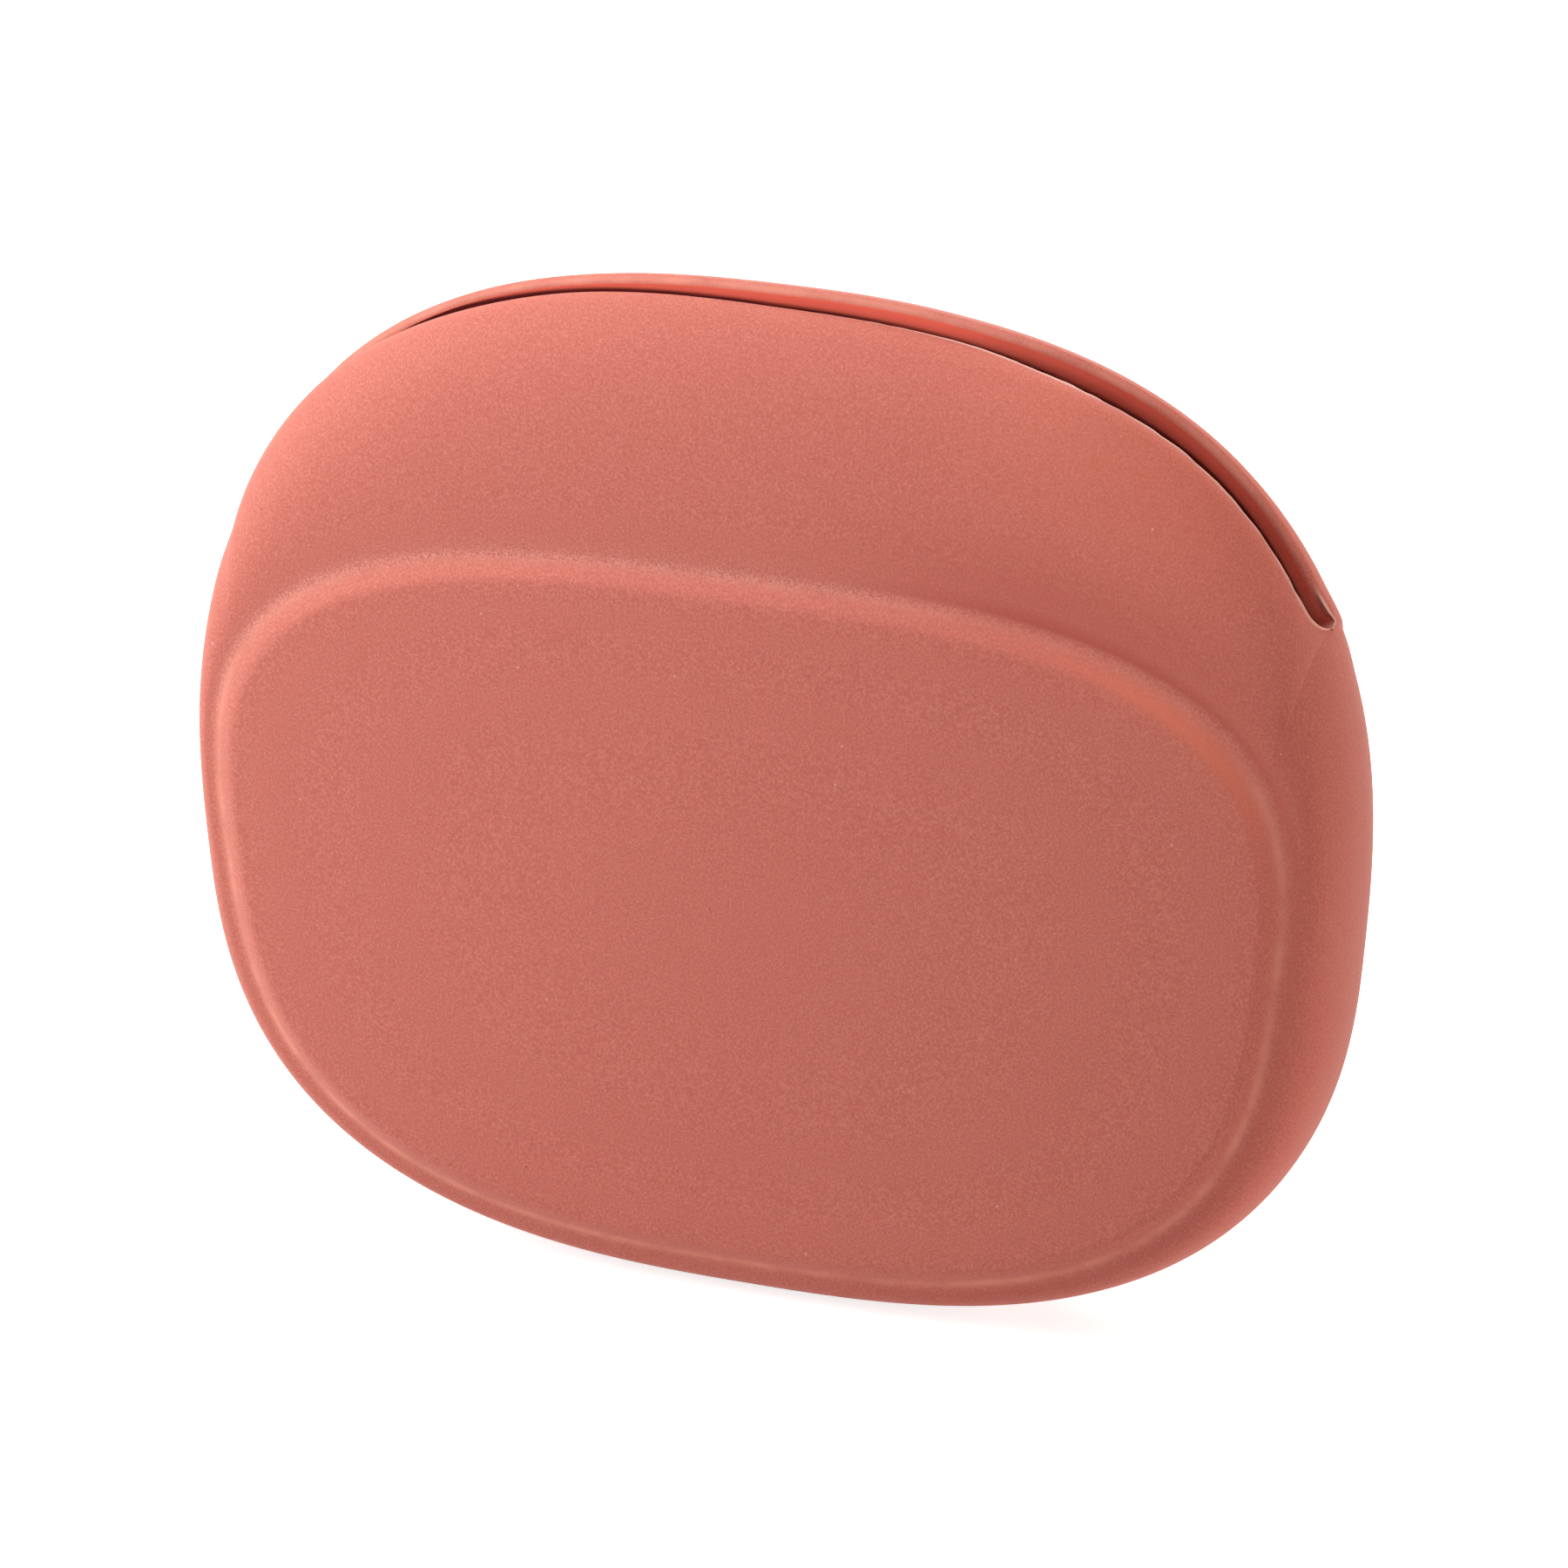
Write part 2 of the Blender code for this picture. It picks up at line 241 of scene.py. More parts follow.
# Sizes of its marks, and how strongly they show.
CLOUD_SIZE = 0.010
GRAIN_SIZE = 0.00017
GRAIN_DEPTH = 0.00003
GRAIN_BUMP = 0.8
GRAIN_STRENGTH = 0.9
PATCHES = {"size": 0.0030, "detail": 3.0}
CRUMBS = {"size": 0.00016, "detail": 1.0}
CRUMB_STRENGTH = 0.3
TEARS = {"size": 0.0040, "detail": 3.0}
PITS = {"spacing": 0.0022, "radius": 0.00010, "share": 0.10}
MOTES = {"spacing": 0.0026, "radius": 0.00012, "share": 0.25}
MOTE_STRENGTH = 0.7
SPECK_CORE = 0.6
WARM_HIGHLIGHT_STRENGTH = 0.65

# Levels of the noise between which each mark comes on, and its shares at those two levels.
CLOUD_LEVELS = (0.3, 0.7)
CLOUD_SHARES = (0.90, 1.0)
DEEP_GRAIN_LEVELS = (0.28, 0.50)
PALE_GRAIN_LEVELS = (0.50, 0.72)
PATCH_LEVELS = (0.35, 0.65)
PATCH_SHARES = (0.35, 1.0)
PALE_CRUMB_LEVELS = (0.45, 0.62)
DARK_CRUMB_LEVELS = (0.44, 0.34)
TEAR_LEVELS = (0.35, 0.55)
TEAR_SHARES = (0.45, 1.0)

# How rough the silicone is, at two levels of its grain, and the rest of its surface.
ROUGHNESS_LEVELS = (0.3, 0.7)
ROUGHNESS = (0.56, 0.70)
SILICONE_SURFACE = {
    "Subsurface Weight": 0.25,
    "Subsurface Radius": (1.0, 0.25, 0.15),
    "Subsurface Scale": 0.0003,
    "Specular IOR Level": 0.12,
    "Sheen Weight": 0.15,
    "Sheen Roughness": 0.35,
    "Sheen Tint": (1.0, 0.86, 0.82, 1.0),
}

# Colours and marks of the magnets' plating.
NICKEL = (0.56, 0.55, 0.54)
NICKEL_PALE = (0.68, 0.68, 0.69)
NICKEL_SCUFFED = (0.42, 0.41, 0.40)
ROLLING_STRETCH = (0.08, 1.0, 1.0)
ROLLING = {"size": 0.00012, "detail": 3.0}
ROLLING_LEVELS = (0.3, 0.7)
ROLLING_DEPTH = 0.000008
ROLLING_BUMP = 0.5
SCUFFS = {"size": 0.0012, "detail": 4.0}
SCUFF_LEVELS = (0.58, 0.70)
SCUFF_STRENGTH = 0.5
NICKEL_ROUGHNESS_LEVELS = (0.3, 0.7)
NICKEL_ROUGHNESS = (0.24, 0.42)

# The floor, its own white near the pouch, and from where to where that grows to full. It lights nothing.
FLOOR_REACH = 3.0
FLOOR_SURFACE = {
    "Base Color": (0.86, 0.86, 0.86, 1.0),
    "Roughness": 0.9,
    "Specular IOR Level": 0.1,
    "Emission Color": (*WHITE, 1.0),
}
FLOOR_GLOW = 0.80
FLOOR_GLOW_REACH = (0.12, 0.45)
WORLD_STRENGTH = 0.01

# Soft square lamps that face the pouch: azimuth, elevation, distance, width, power and colour. Azimuth 0
# is in front of the pouch, and 90 on its right.
LAMPS = {
    "left": (-80.0, 10.0, 0.27, 0.2, 0.155, (0.48, 1.0, 1.0)),
    "key": (-58.0, 35.0, 0.27, 0.2, 0.76, (0.98, 1.0, 1.0)),
    "top": (-10.0, 78.0, 0.27, 0.2, 0.38, WHITE),
    "right": (92.0, 8.0, 1.2, 0.6, 7.4, (1.0, 0.85, 0.77)),
    "rear": (185.0, 35.0, 1.2, 0.6, 9.0, (1.0, 0.90, 0.82)),
}

# Camera: where it looks, from where, its lens for a 36 mm sensor, and the nearest and farthest it sees.
CAMERA_TARGET = Vector((0.00056, 0.0, 0.04064))
CAMERA_AZIMUTH = 20.363
CAMERA_ELEVATION = 22.518
CAMERA_DISTANCE = 0.53255
CAMERA_LENS = 160.43
CAMERA_CLIPS = (0.01, 20.0)

# The Mix node's sockets for colours, by number, because its other kinds of value have the same names.
MIX_COLOURS_IN = (6, 7)
MIX_COLOUR_OUT = 2


def smooth(value):
    """Rises gently from 0 to 1 as the value goes from 0 to 1."""
    value = np.clip(value, 0.0, 1.0)
    return value * value * (3 - 2 * value)


def ramp(value, start, run):
    """Rises gently from 0 at the start to 1 a run further on."""
    return smooth((value - start) / run)


def bell(place, middle, spread):
    """1 at the middle, and falling off to both sides over about the spread."""
    return np.exp(-((place - middle) / spread) ** 2)


def signed_power(value, power):
    return np.copysign(np.abs(value) ** power, value)


class Oval:
    """A closed outline in the XZ plane, with one power above its centre and another below."""

    def __init__(self, half_width, top, base, centre, powers, widening, off_centre=(0.0, 0.0)):
        self.half_width = half_width
        self.off_centre = np.array(off_centre)
        self.rise = top - centre
        self.drop = centre - base
        self.centre = centre
        self.powers = powers
        self.widening = widening

    def points(self, angles, grow=0.0):
        """The x and z at these angles, with the whole outline grown by so much."""
        side, up = np.cos(angles), np.sin(angles)
        power = np.where(up >= 0, *self.powers)
        reach = np.where(up >= 0, self.rise, self.drop) + grow
        height = reach * signed_power(up, 2 / power)
        width = (self.half_width + grow) * (1 + self.widening * height)
        points = np.column_stack([width * signed_power(side, 2 / power), self.centre + height])
        return points + self.off_centre


PANEL_TOP = TOP - PANEL_TOP_INSET
BODY = Oval(HALF_WIDTH, TOP, 0.0, BELT_HEIGHT, BODY_POWERS, BODY_WIDENING)
PANEL = Oval(HALF_WIDTH - PANEL_SIDE_INSET, PANEL_TOP, PANEL_BASE, (PANEL_TOP + PANEL_BASE) / 2,
             PANEL_POWERS, PANEL_WIDENING, PANEL_OFF_CENTRE)
PANEL_MIDDLE = np.array([0.0, PANEL.centre])
INNER_DEPTH = FOOT_DEPTH - WALL


def station_angles():
    """Angles that step evenly along the outline, and closer where the mouth's rounded ends are."""
    fine = np.linspace(-math.pi / 2, 1.5 * math.pi, OUTLINE_SAMPLES)
    points = BODY.points(fine)
    steps = np.linalg.norm(np.diff(points, axis=0), axis=1)
    middle = (points[1:] + points[:-1]) / 2
    above_belt = middle[:, 1] > BELT_HEIGHT
    density = 1 + END_DENSITY * bell(middle[:, 1], MOUTH_END, END_SPREAD) * above_belt
    run = np.concatenate([[0.0], np.cumsum(steps * density)])
    return np.interp(np.linspace(0.0, run[-1], STATIONS, endpoint=False), run, fine)


# Each station's place on the outline, and how much it counts as upper, right or well above the mouth's
# ends, from 0 to 1.
ANGLES = station_angles()
OUTLINE = BODY.points(ANGLES)
ACROSS = OUTLINE[:, 0]
SIDEWAYS = np.abs(ACROSS)
ABOVE_END = OUTLINE[:, 1] - MOUTH_END
UPPER = smooth(np.sin(ANGLES))
RIGHT = smooth(ACROSS / HALF_WIDTH * 2)
# How strongly the mouth's painted shade and the back lip's painted highlight show at each station: not at the
# mouth's ends, and less on the right.
LIP_PAINT_LOSS = LIP_PAINT_RIGHT_LOSS * ramp(ACROSS, LIP_PAINT_RIGHT_START, LIP_PAINT_RIGHT_RUN)
LIP_PAINT_SHARE = ramp(ABOVE_END, 0.0, LIP_PAINT_END_RUN) * (1 - LIP_PAINT_LOSS)


def seam_stray():
    """How far to the back of the middle plane the halves meet: they stray a little beside the mouth."""
    above = ramp(ABOVE_END, 0.0, SEAM_STRAY_RUN)
    below = ramp(-ABOVE_END, SEAM_STRAY_START, SEAM_STRAY_RUN)
    return SEAM_STRAY * (1 - above) * (1 - below)


def edge_depth(side):
    """How far outward from the middle plane this half's edge lies, at each station."""
    on_left = ACROSS < 0
    gape = ramp(SIDEWAYS, GAPE_START[side], GAPE_RUN[side])
    gape = np.where(on_left, gape * LEFT_GAPE_SHARE[side], gape)
    lip = EDGE_CENTRE[side] + (EDGE_GAPE[side] - EDGE_CENTRE[side]) * gape
    meeting = -seam_stray()
    if side == "back":
        flare = (1 - ramp(ABOVE_END, 0.0, END_FLARE_RUN)) * (1 - LEFT_FLARE_LOSS * on_left)
        lip = lip + (END_FLARE - lip) * flare
        meeting = seam_stray()
    opened = np.clip(ABOVE_END / (END_RUN[side] + LEFT_END_EXTRA * on_left), 0.0, 1.0)
    rounding = np.sqrt(1 - (1 - opened) ** 2)
    return meeting + (lip - meeting) * rounding


def edge_round(side):
    """The radius of the outer corner: a lip's above the mouth's end, and a fine crease that fades below."""
    lip = ramp(ABOVE_END, 0.0, LIP_ROUND_RUN)
    fading = 1 - ramp(-ABOVE_END, 0.0, SEAM_ROUND_RUN)
    crease = SEAM_ROUND * (SEAM_LEAST_ROUND + (1 - SEAM_LEAST_ROUND) * fading)
    return crease + (EDGE_ROUND[side] - crease) * lip


def lip_drop():
    """How far the front lip's edge stays below the back one's."""
    drop = np.interp(ACROSS, LIP_DROP_PLACES, LIP_DROPS) * ramp(ABOVE_END, 0.0, LIP_ROUND_RUN)
    reach = range(-LIP_DROP_BLUR, LIP_DROP_BLUR + 1)
    return sum(np.roll(drop, shift) for shift in reach) / len(reach)


def rail_height(side):
    """The wall's height at the edge: its own along the lips, and deep along the middle of the mouth."""
    wall = WALL + (LIP_WALL[side] - WALL) * ramp(ABOVE_END, 0.0, LIP_ROUND_RUN)
    share = 1 - ramp(SIDEWAYS, RAIL_HALF_LENGTH, RAIL_RUN_OUT)
    return wall + (RAIL_HEIGHT - wall) * share * (OUTLINE[:, 1] > BELT_HEIGHT)


def flash_share(side):
    """Where the edge has its film of flash: most at the front lip's right, and a little up the back one."""
    growth = FLASH_LEFT_SHARE + (1 - FLASH_LEFT_SHARE) * ramp(ACROSS, 0.0, FLASH_GROWTH)
    share = ramp(ABOVE_END, -FLASH_START, FLASH_START) * growth
    if side == "back":
        share = share * (1 - ramp(ABOVE_END, FLASH_BACK_START, FLASH_BACK_RUN))
    return share


def flash_height(side):
    """How far the film stands out of the edge. It wanders a little, as torn flash does."""
    wander = np.array([noise.noise(Vector((x, z, 0.0)) * FLASH_BUMPS) for x, z in OUTLINE])
    thick_end = FLASH_END_EXTRA * (1 - ramp(ABOVE_END, 0.0, FLASH_END_RUN))
    return (FLASH_HEIGHT + thick_end + FLASH_WANDER * wander) * flash_share(side)


def towards_centre(points, distance):
    """These points moved straight towards the middle of the panel."""
    way = PANEL_MIDDLE - points
    length = np.linalg.norm(way, axis=1, keepdims=True)
    return points + way / length * np.reshape(distance, (-1, 1))


def panel_depth(share):
    """The panel's depth at this share of the way from its middle to its rim: it is a little pillowed."""
    return HALF_DEPTH - PANEL_CROWN * share ** PANEL_CROWN_POWER


def shoulder(turn):
    """A rounded shoulder: how far in towards the panel and how far out in depth, each from 0 to 1."""
    inward = 1 - np.maximum(0.0, np.cos(turn)) ** (2 / SHOULDER_POWER)
    outward = np.sin(turn) ** (2 / SHOULDER_POWER)
    return inward, outward


def first_turn(radius, depth):
    """The turn at which a shoulder of this depth has risen by the radius of the corner before it."""
    return np.arcsin((radius / depth) ** (SHOULDER_POWER / 2))


def wear_shares(past_rim):
    """How rubbed and highlighted, how shaded outside the rim, how dusty and how much lit by the warmer
    painted highlight a row is that lies this far past the panel's rim.
    """
    # Painted shade in the groove and on the wall past it, on the right and most at the top.
    groove_shade = bell(past_rim, GROOVE_MIDDLE, GROOVE_SPREAD)
    past_groove = bell(past_rim, PAST_GROOVE_MIDDLE, PAST_GROOVE_SPREAD) * PAST_GROOVE_SHARE
    upper_right = RIGHT * (GROOVE_LOW_SHARE + (1 - GROOVE_LOW_SHARE) * UPPER)
    dusty = smooth(np.sin(ANGLES) * DUST_GROWTH) * (1 - DUST_RIGHT_LOSS * RIGHT)
    # Warm painted highlight on the upper right of the rim and the shoulder.
    rim_highlight = bell(past_rim, WARM_HIGHLIGHT_MIDDLE, WARM_HIGHLIGHT_SPREAD) * bell(ANGLES, WARM_HIGHLIGHT_TURN, WARM_HIGHLIGHT_REACH)
    shoulder_highlight = bell(past_rim, SHOULDER_HIGHLIGHT_MIDDLE, SHOULDER_HIGHLIGHT_SPREAD) * SHOULDER_HIGHLIGHT_SHARE
    shoulder_highlight = shoulder_highlight * bell(ANGLES, SHOULDER_HIGHLIGHT_TURN, SHOULDER_HIGHLIGHT_REACH)
    return {
        # The rubbed line is also a painted highlight.
        "rub_and_highlight": bell(past_rim, RUB_MIDDLE, RUB_SPREAD) * (1 - RUB_TOP_LOSS * UPPER),
        "groove_shade": np.minimum(groove_shade + past_groove, 1.0) * upper_right,
        "dust": bell(past_rim, DUST_MIDDLE, DUST_SPREAD) * dusty,
        "warm_highlight": rim_highlight + shoulder_highlight,
    }


# The shares that each point carries; several of them are painted shade or painted light, as their sections
# say.
SHARES = ("flash", "inside", "slit_shadow", "rub_and_highlight", "groove_shade", "dust", "warm_highlight", "painted_light")


class Half:
    """Collects the rows of one moulded half, from the middle of its panel round to its hollow's floor."""

    def __init__(self, side):
        self.side = side
        self.sign = -1 if side == "front" else 1
        self.on_back = float(side == "back")
        self.edge = edge_depth(side)
        self.step = lip_drop() * (side == "front")
        self.round = edge_round(side)
        self.rail = rail_height(side)
        self.flash_share = flash_share(side)
        self.rows = []
        self.shares = []

    def add(self, points, depth, past_rim=FAR, flash=0.0, inside=0.0, slit_shadow=0.0, pale=0.0, painted_light=0.0):
        """One row of points at this depth, with how far it lies past the rim and its shares on the lip."""
        depth = np.broadcast_to(depth, (STATIONS,))
        self.rows.append(np.column_stack([points[:, 0], self.sign * depth, points[:, 1]]))
        shares = wear_shares(np.broadcast_to(past_rim, (STATIONS,)))
        # The back lip's painted highlight joins the rubbed line's share.
        shares["rub_and_highlight"] = shares["rub_and_highlight"] + pale * LIP_PAINT_SHARE
        shares["flash"] = flash * self.flash_share
        # Deeper colour with painted shade inside the mouth.
        shares["inside"] = inside * LIP_PAINT_SHARE
        # Painted shadow in the slit.
        shares["slit_shadow"] = slit_shadow * ramp(ABOVE_END, SLIT_END_START, SLIT_END_RUN)
        # Painted light just below the back lip's corner.
        shares["painted_light"] = painted_light * ramp(ABOVE_END, 0.0, PAINTED_LIGHT_END_RUN)
        self.shares.append(shares)

    def within_edge(self, inward):
        """The outline's points, this far inside this half's own edge."""
        return towards_centre(OUTLINE, self.step + inward)

    def panel_face(self):
        rim = PANEL.points(ANGLES, -RIDGE_CREST)
        for share in np.linspace(0.0, 1.0, PANEL_ROWS + 1)[1:-1]:
            self.add(PANEL_MIDDLE + (rim - PANEL_MIDDLE) * share, panel_depth(share))

    def ridge(self):
        """The soft step from the panel's rim down to the wall, steepest nearer to the rim."""
        width = RIDGE_FOOT + RIDGE_CREST
        for share in np.linspace(1.0, 0.0, RIDGE_ROWS):
            if share < RIDGE_STEEPEST:
                rise = share ** 2 / RIDGE_STEEPEST
            else:
                rise = 1 - (1 - share) ** 2 / (1 - RIDGE_STEEPEST)
            top = panel_depth(1 + (1 - share) * width / PANEL.half_width)
            grow = RIDGE_FOOT - width * share
            self.add(PANEL.points(ANGLES, grow), FOOT_DEPTH + (top - FOOT_DEPTH) * rise, grow)

    def outer_wall(self):
        foot = PANEL.points(ANGLES, RIDGE_FOOT)
        start = first_turn(self.round, FOOT_DEPTH - self.edge)
        for share in np.linspace(1.0, 0.0, SHOULDER_ROWS)[1:]:
            inward, outward = shoulder(start + (math.pi / 2 - start) * share)
            points = OUTLINE + (foot - OUTLINE) * inward[:, None]
            points = towards_centre(points, self.step * (1 - inward) ** LIP_DROP_FADE)
            past_rim = RIDGE_FOOT + np.linalg.norm(points - foot, axis=1)
            self.add(points, self.edge + (FOOT_DEPTH - self.edge) * outward, past_rim)

    def corner_row(self, degrees, stand_out=0.0, flash=0.0):
        """One row round the outer corner, standing out of it by so much."""
        turn = math.radians(degrees)
        reach = self.round + stand_out
        inward = self.round - reach * math.cos(turn)
        depth = self.edge + self.round - reach * math.sin(turn)
        # Painted highlight round the back lip's corner, and painted light just past its turn.
        pale = ramp(degrees, 0.0, PALE_TURN) * self.on_back
        painted_light = ramp(degrees, PAINTED_LIGHT_TURN, PAINTED_LIGHT_TURN_RUN) * self.on_back
        self.add(self.within_edge(inward), depth, flash=flash, pale=pale, painted_light=painted_light)

    def edge_corner(self):
        film = flash_height(self.side)
        foot_low, foot_high = FLASH_MIDDLE - FLASH_FOOT, FLASH_MIDDLE + FLASH_FOOT
        for degrees in (foot_low / 3, foot_low * 2 / 3):
            self.corner_row(degrees)
        self.corner_row(foot_low, 0.0, FLASH_FOOT_SHARE)
        self.corner_row(FLASH_MIDDLE - FLASH_TIP, film, 1.0)
        self.corner_row(FLASH_MIDDLE + FLASH_TIP, film, 1.0)
        self.corner_row(foot_high, 0.0, FLASH_FOOT_SHARE)
        for degrees in ((foot_high + 90) / 2, 90.0):
            self.corner_row(degrees)

    def mouth_face(self):
        """The lip's face towards the other half, and its rounded inner corner."""
        gap = edge_depth("front") + edge_depth("back")
        dark_start = gap * np.interp(ACROSS, SLIT_PLACES, SLIT_STARTS)
        for share in np.linspace(0.0, 1.0, FACE_ROWS + 1)[1:]:
            inward = self.round + (self.rail - INNER_ROUND - self.round) * share ** 2
            below = self.step + inward - lip_drop()
            # Painted shadow in the slit, painted light on the back lip's face near its corner and near the
            # mouth's end, and painted shade below the front lip's level.
            into_dark = below - dark_start
            slit_shadow = ramp(into_dark, -SLIT_RUN, SLIT_RUN) * (1 - ramp(into_dark, SLIT_DEPTH, SLIT_RUN))
            flash = FACE_PAINTED_LIGHT * (1 - share) * self.on_back
            painted_light = (1 - ramp(inward - self.round, PAINTED_LIGHT_DEPTH, PAINTED_LIGHT_RUN)) * self.on_back
            painted_shade = ramp(below, INSIDE_SHADE_START, INSIDE_SHADE_RUN)
            self.add(self.within_edge(inward), self.edge, flash=flash, inside=painted_shade, slit_shadow=slit_shadow, painted_light=painted_light)
        # The inner corner is all in the deeper colour with painted shade.
        for degrees in INNER_TURNS:
            turn = math.radians(degrees)
            inward = self.rail - INNER_ROUND * (1 - math.sin(turn))
            depth = self.edge + INNER_ROUND * (1 - math.cos(turn))
            self.add(self.within_edge(inward), depth, inside=1.0)

    def hollow(self):
        flat = PANEL.points(ANGLES, RIDGE_FOOT - WALL)
        top = self.within_edge(self.rail)
        start = first_turn(INNER_ROUND, INNER_DEPTH - self.edge)
        # The hollow is all in the deeper colour with painted shade.
        for share in np.linspace(0.0, 1.0, HOLLOW_ROWS):
            inward, outward = shoulder(start + (math.pi / 2 - start) * share)
            depth = self.edge + (INNER_DEPTH - self.edge) * outward
            self.add(top + (flat - top) * inward[:, None], depth, inside=1.0)
        for share in np.linspace(1.0, 0.0, PANEL_ROWS + 1)[1:-1]:
            self.add(PANEL_MIDDLE + (flat - PANEL_MIDDLE) * share, INNER_DEPTH, inside=1.0)

    def grid(self, build):
        """The rows as vertices with their shares."""
        layers = [build.verts.layers.float.new(name) for name in SHARES]
        rows = []
        for row, shares in zip(self.rows, self.shares):
            rows.append([build.verts.new(point) for point in row])
            for layer, name in zip(layers, SHARES):
                for vert, share in zip(rows[-1], shares[name]):
                    vert[layer] = share
        return rows

    def skin(self):
        """The closed mesh through all rows, with a point in the middle of the panel and of the floor."""
        for part in (self.panel_face, self.ridge, self.outer_wall, self.edge_corner, self.mouth_face,
                     self.hollow):
            part()
        build = bmesh.new()
        grid = self.grid(build)
        after = [(place + 1) % STATIONS for place in range(STATIONS)]
        for row, following in zip(grid, grid[1:]):
            for here, there in enumerate(after):
                build.faces.new((row[here], row[there], following[there], following[here]))
        for row, depth in zip((grid[0], grid[-1]), (HALF_DEPTH, INNER_DEPTH)):
            pole = build.verts.new((0.0, self.sign * depth, PANEL.centre))
            for here, there in enumerate(after):
                build.faces.new((row[here], row[there], pole))
        return finish_mesh(build, self.side + "_skin")


def link(thing):
    bpy.context.scene.collection.objects.link(thing)
    return thing


def finish_mesh(build, name):
    """A linked object of what was built, with its faces turned outward."""
    bmesh.ops.recalc_face_normals(build, faces=build.faces)
    mesh = bpy.data.meshes.new(name)
    build.to_mesh(mesh)
    build.free()
    return link(bpy.data.objects.new(name, mesh))


def centre_of(node):
    return sum((vert.co for vert in node.data.vertices), Vector()) / len(node.data.vertices)


def pocket_cutter(side, hand):
    """The pocket round one magnet and its plug, a little wider than both and open at its lower end."""
    magnet, plug = (frame["nodes"][f"{side}_{kind}_{hand}"] for kind in ("magnet", "plug"))
    down = (centre_of(plug) - centre_of(magnet)).normalized()
    across = Vector((0.0, 1.0, 0.0))
    along = down.cross(across)
    build = bmesh.new()

    def widen(point):
        for reach in (-POCKET_GAP, POCKET_GAP):
            for turn in (-POCKET_GAP, POCKET_GAP):
                build.verts.new(point + across * reach + along * turn)

    for node in (magnet, plug):
        for vert in node.data.vertices:
            widen(vert.co)
            build.verts.new(vert.co - down * POCKET_GAP)
    for vert in plug.data.vertices:
        widen(vert.co + down * POCKET_OPEN)
    hull = bmesh.ops.convex_hull(build, input=build.verts)
    bmesh.ops.delete(build, geom=hull["geom_interior"], context="VERTS")
    return finish_mesh(build, f"pocket_{side}_{hand}")


def cut_pockets(skin, side):
    cutters = [pocket_cutter(side, hand) for hand in ("left", "right")]
    for cutter in cutters:
        boolean = skin.modifiers.new(cutter.name, "BOOLEAN")
        boolean.operation = "DIFFERENCE"
        boolean.solver = "MANIFOLD"
        boolean.object = cutter
    bpy.context.view_layer.update()
    evaluated = skin.evaluated_get(bpy.context.evaluated_depsgraph_get())
    mesh = bpy.data.meshes.new_from_object(evaluated)
    skin.modifiers.clear()
    skin.data = mesh
    for cutter in cutters:
        bpy.data.objects.remove(cutter, do_unlink=True)


def keep_rest_place(skin):
    """Stores where each point lies at rest, so that the finish doesn't slide when the lip bends."""
    places = np.array([vert.co for vert in skin.data.vertices], np.float32)
    attribute = skin.data.attributes.new("rest_place", "FLOAT_VECTOR", "POINT")
    attribute.data.foreach_set("vector", places.ravel())


